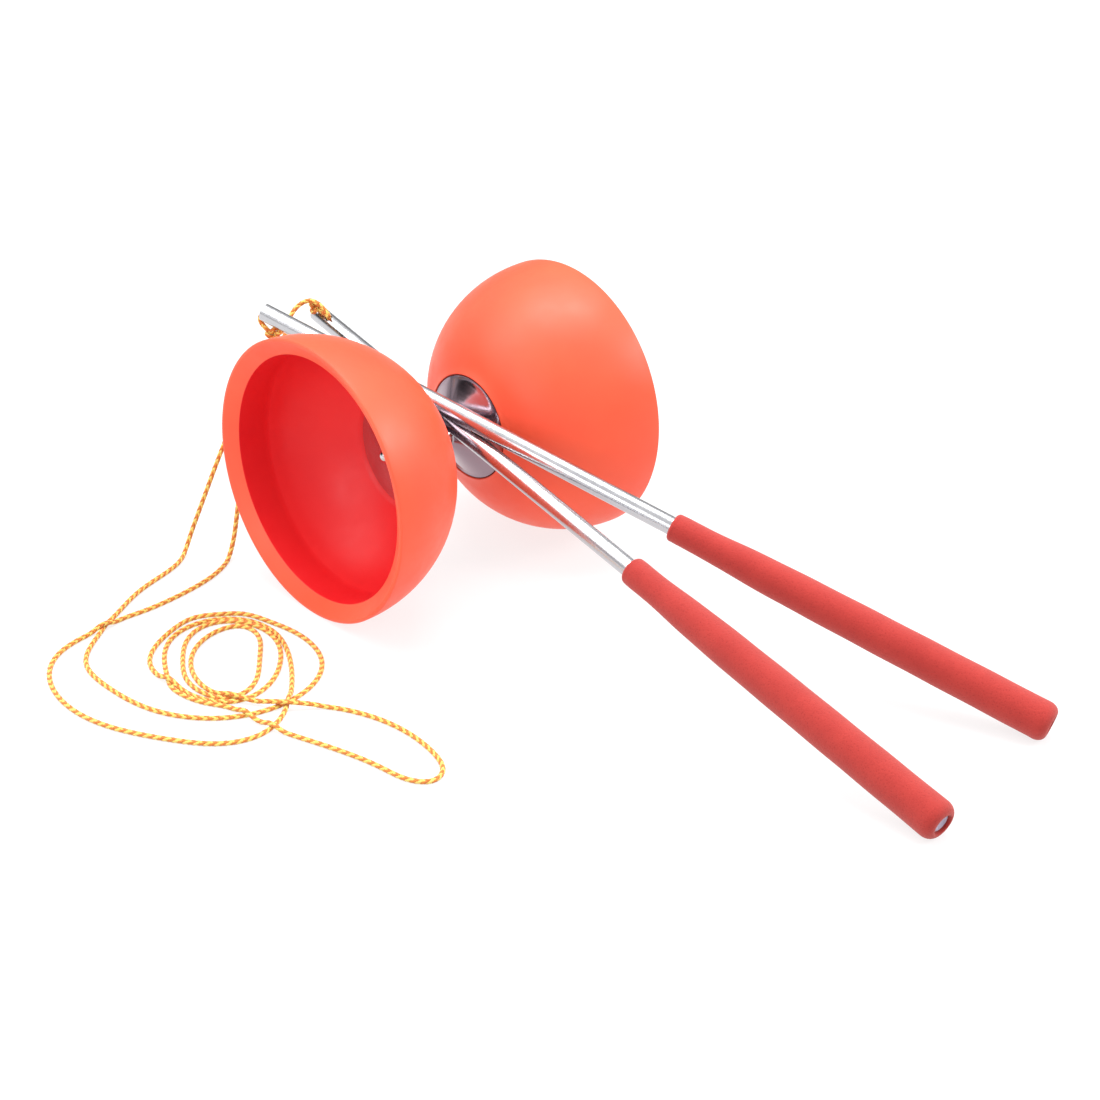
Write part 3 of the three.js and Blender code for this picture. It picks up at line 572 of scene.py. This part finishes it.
def frames_along(line):
    """Frames carried along the line without twisting."""
    t = np.gradient(line, axis=0)
    t /= np.linalg.norm(t, axis=1, keepdims=True)
    u = np.zeros_like(line)
    v0 = np.cross(t[0], (0.31, 0.17, 0.93))
    u[0] = v0 / np.linalg.norm(v0)
    for i in range(1, len(line)):
        w = u[i - 1] - t[i] * (u[i - 1] @ t[i])
        u[i] = w / np.linalg.norm(w)
    return t, u, np.cross(t, u)


def braid(name, points, start=0.0, step=0.55, scale=1.0, ends=(False, False)):
    """Eight yarns, four each way, two over two under, round a line in axle millimetres."""
    line, s = smooth_line(points, step)
    t, u, v = frames_along(line)
    s = s + start
    n = len(line)
    verts, faces, fm = [], [], []
    rc, amp, wide, thick = 0.60 * scale, 0.11 * scale, 0.47 * scale, 0.27 * scale
    pitch = PITCH * scale
    taper = np.ones(n)
    for e, on in enumerate(ends):
        if on:
            d = (s - s[0]) if e == 0 else (s[-1] - s)
            taper *= np.clip(d / 1.2, 0.25, 1)
    for k in range(8):
        way, lane = (1, k) if k < 4 else (-1, k - 4)
        ang = way * 2 * math.pi * s / pitch + lane * math.pi / 2
        cross = 8 * s / pitch
        x = cross + 2 * lane if way > 0 else 2 * lane - cross
        rr = (rc + way * amp * np.cos(math.pi / 2 * (x - 0.5))) * taper
        radial = u * np.cos(ang)[:, None] + v * np.sin(ang)[:, None]
        around = -u * np.sin(ang)[:, None] + v * np.cos(ang)[:, None]
        slope = way * 2 * math.pi * rc / pitch
        side = around - t * slope
        side /= np.linalg.norm(side, axis=1, keepdims=True)
        centre = line + radial * rr[:, None]
        base = len(verts)
        corner = [(0.62, 0.78), (1.0, -0.25), (-1.0, -0.25), (-0.62, 0.78)]
        cols = [centre + side * (a * wide * taper)[:, None] + radial * (b * thick * taper)[:, None] for a, b in corner]
        block = np.stack(cols, 1).reshape(-1, 3)
        verts.append(block)
        off = k * n * 4
        for i in range(n - 1):
            for c in range(4):
                d = (c + 1) % 4
                faces.append((off + i * 4 + c, off + i * 4 + d, off + i * 4 + 4 + d, off + i * 4 + 4 + c))
                fm.append(lane % 2)
        faces.append((off + 3, off + 2, off + 1, off))
        faces.append((off + (n - 1) * 4, off + (n - 1) * 4 + 1, off + (n - 1) * 4 + 2, off + (n - 1) * 4 + 3))
        fm += [lane % 2] * 2
    o = mesh_object(name, row(np.vstack(verts)), faces, [ORANGE, YELLOW], fm)
    return o, [list(p) for p in row(line)], float(s[-1] - s[0])


route = np.array([[float(c) for c in p.split(",")] for p in ROUTE_MM.split()]) + ORIGIN
# the part from the upper handstick down to 50 mm runs between the sticks; the
# rest runs between the ground and the lower handstick
split = next(i for i, p in enumerate(route) if p[2] < 50.0)
string_up = route[:split + 1]
string_main = route[split:]
up_obj, up_path, up_len = braid("string_upper_end", string_up, scale=1.16)
main_obj, main_path, main_len = braid("string", string_main, start=up_len, scale=1.16)


# A knot is one tight overhand with its standing part, its tail and the eye
# that runs through the tube's hole and out over its end.
def overhand(centre, axes, r, h):
    """A closed trefoil line in local axes, flattened to a compact knot."""
    out = []
    for i in range(49):
        a = 2 * math.pi * i / 48
        p = np.array([math.sin(a) + 2 * math.sin(2 * a), math.cos(a) - 2 * math.cos(2 * a), -math.sin(3 * a) * 1.25])
        out.append(np.asarray(centre) + axes @ (p * np.array([r / 3, r / 3, h])))
    return out


def stick_point(place, x, y, z):
    return place[0] + place[1] @ np.array([x, y, z])


def knot(name, centre, tilt, body, node, eye_points, r=2.6, h=1.1, full=1.08):
    axes = np.stack([right, up, -fwd], 1) @ np.array(Matrix.Rotation(tilt, 3, "Z"))
    tie, _, _ = braid(name, overhand(centre, axes, r, h), step=0.35, scale=1.05)
    eye, _, _ = braid(name + "_eye", eye_points, step=0.4, scale=full, ends=(True, True))
    for o in (tie, eye):
        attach(o, body)
    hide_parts(node)
    return [tie, eye]


K1 = np.array((-33.7, 76.0, 95.3))
K2 = np.array((-4.5, 83.7, 98.5))
upper_knot = knot("knot_of_upper_end", K1, 0.35, "upper_handstick", "knot_upper", [
    K1 + (0.2, -0.6, 0.6), stick_point(UPPER, 9.6, 0.0, -6.3), stick_point(UPPER, 10.5, 0.0, -4.4), stick_point(UPPER, 10.2, 0, -1.9),
    stick_point(UPPER, 6.0, 0, -1.5), stick_point(UPPER, 1.2, 0, -1.8), stick_point(UPPER, -1.3, 0, -3.1), stick_point(UPPER, -0.6, -0.2, -5.2),
    stick_point(UPPER, 2.6, -0.4, -6.9), K1 + (-0.3, 0.8, 0.2)], r=3.0, h=1.35, full=1.2)
lower_knot = knot("knot_of_lower_end", K2, -0.5, "lower_handstick", "knot_lower", [
    K2 + (0.5, -0.8, -0.2), stick_point(LOWER, 8.0, -3.6, 5.6), stick_point(LOWER, 10.3, -2.6, 4.7), stick_point(LOWER, 10.9, -1.3, 2.6),
    stick_point(LOWER, 9.0, -0.6, 1.2), stick_point(LOWER, 3.0, -0.8, 1.4), stick_point(LOWER, -1.0, -1.8, 2.6), stick_point(LOWER, -1.4, -3.3, 4.6),
    stick_point(LOWER, 0.8, -4.4, 6.0), K2 + (-0.4, 0.8, -0.2)])

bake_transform(main_obj)
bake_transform(up_obj)
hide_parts("string_run_lower", "string_loop", "string_coil", "string_end_lower", "string_run_upper")

# ------------------------------------------------------------------ diabolo
def cup_outer(x):
    u = (HALF_LEN - x) / 62.2
    return RIM_R * (1 - u ** 2.066) ** (1 / 2.032)


bowl = spline([(23.6, 27.2), (26.2, 32.0), (30.0, 37.6), (35.0, 43.4), (41.0, 48.4), (47.5, 52.2), (54.5, 54.7)], 6)
cup = [(16.9, 11.3), (21.9, 11.3), (21.9, 26.2)] + bowl[1:-1] + [(54.5, 54.66), (56.5, 54.7), (69.2, 54.7), (73.2, 60.95), (73.2, 61.95), (72.65, 62.5)]
cup += [(x, cup_outer(x)) for x in np.concatenate([np.arange(70.5, 24, -2.4), np.arange(23.2, 17.2, -1.0)])]
cup += [(17.0, cup_outer(17.0)), (15.5, 25.1), (14.95, 24.5), (15.1, 23.95), (16.9, 23.95)]
cup = rounded(cup, 0.35, 3)

cone_slope = spline([(2.8, 5.2), (5.0, 8.1), (8.0, 12.25), (11.5, 17.35), (14.5, 21.9)], 5)
cone = [(2.8, 2.8)] + cone_slope + [(15.0, 22.85), (15.2, 23.5), (15.5, 23.6), (16.6, 23.6), (16.6, 11.0), (21.9, 11.0), (21.9, 2.8)]
plate = rounded([(22.2, 2.8), (22.2, 25.8), (22.35, 25.9), (23.4, 25.9), (23.75, 25.55), (23.75, 2.8)], 0.2, 3)
washer = rounded([(24.05, 2.8), (24.05, 5.0), (25.05, 5.0), (25.05, 2.8)], 0.15, 3)


def cap_nut(name, flip):
    """Chamfered hexagon that turns into a polished dome."""
    x0 = 25.35
    stations = [(0.0, 2.8, 0), (0.0, 3.95, 0), (0.12, 4.05, 0), (0.55, 4.62, 0), (3.35, 4.62, 0), (3.75, 4.2, 0), (3.95, 3.82, 0)]
    stations += [(5.2 + 3.75 * math.sin(a), 3.75 * math.cos(a), 0) for a in np.linspace(-0.28, math.pi / 2, 16)[:-1]]
    verts, rings, faces = [], [], []
    seg = 96
    for x, r, _ in stations:
        ids = []
        for k in range(seg):
            t = 2 * math.pi * k / seg
            hexagon = 4.0 / math.cos(((t + math.pi / 6) % (math.pi / 3)) - math.pi / 6)
            rr = min(r, hexagon) if r > 2.9 else r
            ids.append(len(verts))
            verts.append(((x0 + x) * (-1 if flip else 1), rr * math.cos(t), rr * math.sin(t)))
        rings.append(ids)
    for a, b in zip(rings[:-1], rings[1:]):
        faces += [(a[k], a[(k + 1) % seg], b[(k + 1) % seg], b[k]) for k in range(seg)]
    tip = len(verts)
    verts.append(((x0 + 8.95) * (-1 if flip else 1), 0, 0))
    faces += [(rings[-1][k], rings[-1][(k + 1) % seg], tip) for k in range(seg)]
    # the blind bore behind the hexagon
    back = []
    for x, r in ((6.6, 2.8),):
        ids = []
        for k in range(seg):
            t = 2 * math.pi * k / seg
            ids.append(len(verts))
            verts.append(((x0 + x) * (-1 if flip else 1), r * math.cos(t), r * math.sin(t)))
        back.append(ids)
    faces += [(rings[0][k], back[0][k], back[0][(k + 1) % seg], rings[0][(k + 1) % seg]) for k in range(seg)]
    mid = len(verts)
    verts.append(((x0 + 6.6) * (-1 if flip else 1), 0, 0))
    faces += [(back[0][k], mid, back[0][(k + 1) % seg]) for k in range(seg)]
    v = np.array(verts) + (0, 0, AXLE_Z)
    o = mesh_object(name, row(v), faces, [STEEL])
    outward(o)
    return sharp(o, 24)


for side, flip in (("front", True), ("back", False)):
    for label, profile, material, node, seg, slot in (
        ("cup_shell_", cup, CUP_OUTSIDE_LIT, "cup_", 192, "cup_rubber"),
        ("hub_", cone, HUB_PINK_REFLECTED, "hub_cone_", 160, "hub_aluminium"),
        ("plate_", plate, PLATE, "clamp_plate_", 128, "hub_aluminium"),
        ("nut_washer_", washer, ZINC, "washer_", 64, "zinc_steel"),
    ):
        o = turned(label + side, profile, AXLE, material, seg, flip=flip)
        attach(o, "rotor")
        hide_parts(node + side)
    shell = bpy.data.objects["cup_shell_" + side]
    # The faces inside the bowl take the deeper red copy: painted shade.
    shell.data.materials.append(CUP_SHADED_INSIDE)
    for poly in shell.data.polygons:
        c = np.array(poly.center) * 1000 + ORIGIN - (0, 0, AXLE_Z)
        x, r = abs(c[0]), math.hypot(c[1], c[2])
        if x > 21.95 and r < 54.85 and r < cup_outer(x) - 2:
            poly.material_index = 1
    o = cap_nut("domed_nut_" + side, flip)
    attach(o, "rotor")
    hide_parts("cap_nut_" + side)

o = turned("sleeve_ring", rounded([(-2.5, 5.05), (-2.5, 5.75), (-2.25, 6.0), (2.25, 6.0), (2.5, 5.75), (2.5, 5.05), (0.75, 5.05), (0.0, 5.45), (-0.75, 5.05)], 0.1, 2), AXLE, STEEL, 96)
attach(o, "sleeve")
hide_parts("axle_sleeve")

# balls and their cage, one piece
cage = turned("ball_ring", rounded([(-1.5, 4.1), (-1.5, 4.7), (1.5, 4.7), (1.5, 4.1)], 0.12, 2), AXLE, ZINC, 64)
bm = bmesh.new()
bm.from_mesh(cage.data)
for k in range(8):
    a = math.pi / 4 * k + 0.1
    at = row((0, 4.4 * math.cos(a), 4.4 * math.sin(a) + AXLE_Z))
    bmesh.ops.create_uvsphere(bm, u_segments=20, v_segments=12, radius=0.00072, matrix=Matrix.Translation([float(c) for c in at]))
bm.to_mesh(cage.data)
bm.free()
cage.data.polygons.foreach_set("use_smooth", np.ones(len(cage.data.polygons), bool))
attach(cage, "ball_cage")
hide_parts("bearing_ball_cage")

for n in ("threaded_rod", "bearing_inner_ring"):
    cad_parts[n].data.materials.clear()
    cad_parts[n].data.materials.append(ZINC)


# --------------------------------------------------------------- handsticks
def tube(name, place, length, hole_turn, material):
    end = length - 1.3 - 0.9 - 0.3
    prof = rounded([(0.0, BORE_R + 0.12), (0.12, BORE_R), (end, BORE_R), (end, TUBE_R), (0.22, TUBE_R), (0.0, TUBE_R - 0.22)], 0.08, 2)
    o = turned(name, prof, place, material, 96, sharp_deg=None)
    bm = bmesh.new()
    bmesh.ops.create_cone(bm, cap_ends=True, segments=40, radius1=0.0017, radius2=0.0017, depth=0.004)
    me = bpy.data.meshes.new(name + "_drill")
    bm.to_mesh(me)
    bm.free()
    drill = bpy.data.objects.new(name + "_drill", me)
    bpy.context.scene.collection.objects.link(drill)
    out = place[1] @ np.array([0, -math.sin(hole_turn), math.cos(hole_turn)])
    at = row(stick_point(place, 10.5, 0, 0) + out * 3.5)
    drill.matrix_world = Matrix.Translation([float(c) for c in at]) @ Vector([float(c) for c in out]).to_track_quat("Z", "X").to_matrix().to_4x4()
    cut = o.modifiers.new("hole", "BOOLEAN")
    cut.object, cut.operation, cut.solver = drill, "DIFFERENCE", "EXACT"
    dg = bpy.context.evaluated_depsgraph_get()
    dg.update()
    made = bpy.data.meshes.new_from_object(o.evaluated_get(dg), depsgraph=dg)
    o.modifiers.clear()
    o.data = made
    bpy.data.objects.remove(drill)
    made.polygons.foreach_set("use_smooth", np.ones(len(made.polygons), bool))
    return sharp(o, 28)


GRIP = [(0, 5.55), (0.6, 6.0), (2.2, 6.2), (9, 6.27), (16, 6.35), (24, 6.65), (34, 7.15), (44, 7.5), (60, 7.8), (90, 8.05), (130, 8.2), (168, 8.28)]


def grip(name, place, length, material, seed, begin):
    outer = [(begin + a, b) for a, b in spline(GRIP, 8)]
    end_r = 8.28
    outer = [p for p in outer if p[0] < length - 5.0]
    prof = [(begin, TUBE_R + 0.3)] + outer
    prof += [(length - 4.5 + 4.5 * math.sin(t), end_r - 3.4 + 3.4 * math.cos(t)) for t in np.linspace(0, math.pi / 2, 11)[:-1]]
    prof += [(length, end_r - 3.55), (length - 0.25, TUBE_R + 0.45), (length - 0.9, TUBE_R + 0.3)]

    def ripple(x, t):
        if x < begin + 1.5 or x > length - 5.2:
            return 0.0
        return 0.045 * math.sin(0.23 * x + seed + 1.3 * math.sin(t + seed)) - 0.05

    o = turned(name, prof, place, material, 96, ripple=ripple, sharp_deg=50)
    return o


def plug(name, place, length):
    face = length - 1.3
    prof = [(face - 13, 0), (face - 13, 2.4), (face - 12, 2.8), (face - 0.9, 2.8), (face - 0.9, 3.9), (face - 0.2, 3.9), (face, 3.7)]
    prof += [(face, 2.5), (face - 0.25, 2.3), (face - 0.3, 0.9), (face - 0.12, 0.6), (face - 0.1, 0)]
    return turned(name, rounded(prof, 0.15, 2), place, PLUG, 64)


for which, place, length, hole, tube_mat, foam, seed in (
    ("upper", UPPER, LEN_U, math.pi * 0.98, TUBE_U, FOAM_U, 0.4),
    ("lower", LOWER, LEN_L, 0.46, TUBE_L, FOAM_L, 2.1),
):
    body = which + "_handstick"
    for o, node, slot in (
        (tube("tube_" + which, place, length, hole, tube_mat), "handstick_tube_" + which, "tube_aluminium"),
        (grip("grip_" + which, place, length, foam, seed, GRIP_START[which]), "foam_grip_" + which, "grip_foam"),
        (plug("plug_" + which, place, length), "end_plug_" + which, "plug_plastic"),
    ):
        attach(o, body)
        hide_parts(node)

# ----------------------------------------------------------- floor and light
floor = mesh_object("floor", [(-20, -20, 0), (20, -20, 0), (20, 20, 0), (-20, 20, 0)], [(0, 1, 2, 3)], [], smooth=False)
fm = Mat("floor_white", Roughness=0.9)
fv = fm.coords()
fm.to("Base Color", fm.ramp(fm.noise(fv, 3, 3), [(0.3, (0.20, 0.20, 0.20, 1)), (0.7, (0.21, 0.21, 0.21, 1))]))
fm.p.inputs["Emission Color"].default_value = (1, 1, 1, 1)
fm.p.inputs["Emission Strength"].default_value = 0.79
fm.p.inputs["Specular IOR Level"].default_value = 0.1
floor.data.materials.append(fm.m)

world = bpy.data.worlds.new("studio")
bpy.context.scene.world = world
world.use_nodes = True
wt = world.node_tree
bg = next(n for n in wt.nodes if n.type == "BACKGROUND")
tc = wt.nodes.new("ShaderNodeTexCoord")
sep = wt.nodes.new("ShaderNodeSeparateXYZ")
ramp = wt.nodes.new("ShaderNodeValToRGB")
e = ramp.color_ramp.elements
e[0].position, e[0].color = 0.0, (0.80, 0.80, 0.81, 1)
e[1].position, e[1].color = 1.0, (1.0, 1.0, 1.0, 1)
for pos, c in ((0.02, 0.72), (0.08, 0.60), (0.18, 0.78), (0.5, 1.0)):
    x = e.new(pos)
    x.color = (c, c, c * 1.01, 1)
wt.links.new(tc.outputs["Generated"], sep.inputs[0])
wt.links.new(sep.outputs["Z"], ramp.inputs["Fac"])


def dark_patch(previous, direction, inner, outer, value):
    """The unlit part of the room round one direction, seen only in the metal."""
    d = Vector(direction).normalized()
    dot = wt.nodes.new("ShaderNodeVectorMath")
    dot.operation = "DOT_PRODUCT"
    dot.inputs[1].default_value = d
    wt.links.new(tc.outputs["Generated"], dot.inputs[0])
    mr = wt.nodes.new("ShaderNodeMapRange")
    mr.interpolation_type = "SMOOTHSTEP"
    for k, v in (("From Min", math.cos(math.radians(outer))), ("From Max", math.cos(math.radians(inner))), ("To Min", 1.0), ("To Max", value)):
        mr.inputs[k].default_value = v
    wt.links.new(dot.outputs["Value"], mr.inputs["Value"])
    mul = wt.nodes.new("ShaderNodeVectorMath")
    mul.operation = "MULTIPLY"
    wt.links.new(previous, mul.inputs[0])
    wt.links.new(mr.outputs["Result"], mul.inputs[1])
    return mul.outputs["Vector"]


sky = dark_patch(ramp.outputs["Color"], (-0.72, -0.60, 0.66), 6, 15, 0.30)
sky = dark_patch(sky, (-0.65, 0.64, 0.36), 15, 24, 0.04)
sky = dark_patch(sky, (0.60, 0.64, 0.12), 18, 38, 0.40)
sky = dark_patch(sky, (0.35, -0.92, 0.20), 10, 22, 0.15)
wt.links.new(sky, bg.inputs["Color"])
bg.inputs["Strength"].default_value = 0.95


def softbox(name, at, aim, size, power, shape="RECTANGLE"):
    d = bpy.data.lights.new(name, "AREA")
    d.shape, d.size, d.size_y, d.energy = shape, size[0], size[1], power
    o = bpy.data.objects.new(name, d)
    bpy.context.scene.collection.objects.link(o)
    o.location = at
    o.rotation_mode = "QUATERNION"
    o.rotation_quaternion = (Vector(aim) - Vector(at)).to_track_quat("-Z", "Y")
    return o


softbox("key", (-1.0, 0.9, 1.5), (0, 0.05, 0.05), (1.2, 1.2), 15)
softbox("side", (-1.8, -0.1, 0.7), (0, 0.05, 0.05), (0.9, 0.7), 9)
softbox("front", (1.4, -1.1, 1.2), (0, 0.05, 0.05), (1.0, 0.8), 24)
softbox("top", (0.2, 0.3, 1.9), (0, 0.05, 0.0), (1.4, 1.0), 34)

scene = bpy.context.scene
scene.view_settings.view_transform = "Standard"
scene.view_settings.look = "None"
scene.view_settings.exposure = 0.0
scene.view_settings.gamma = 1.0
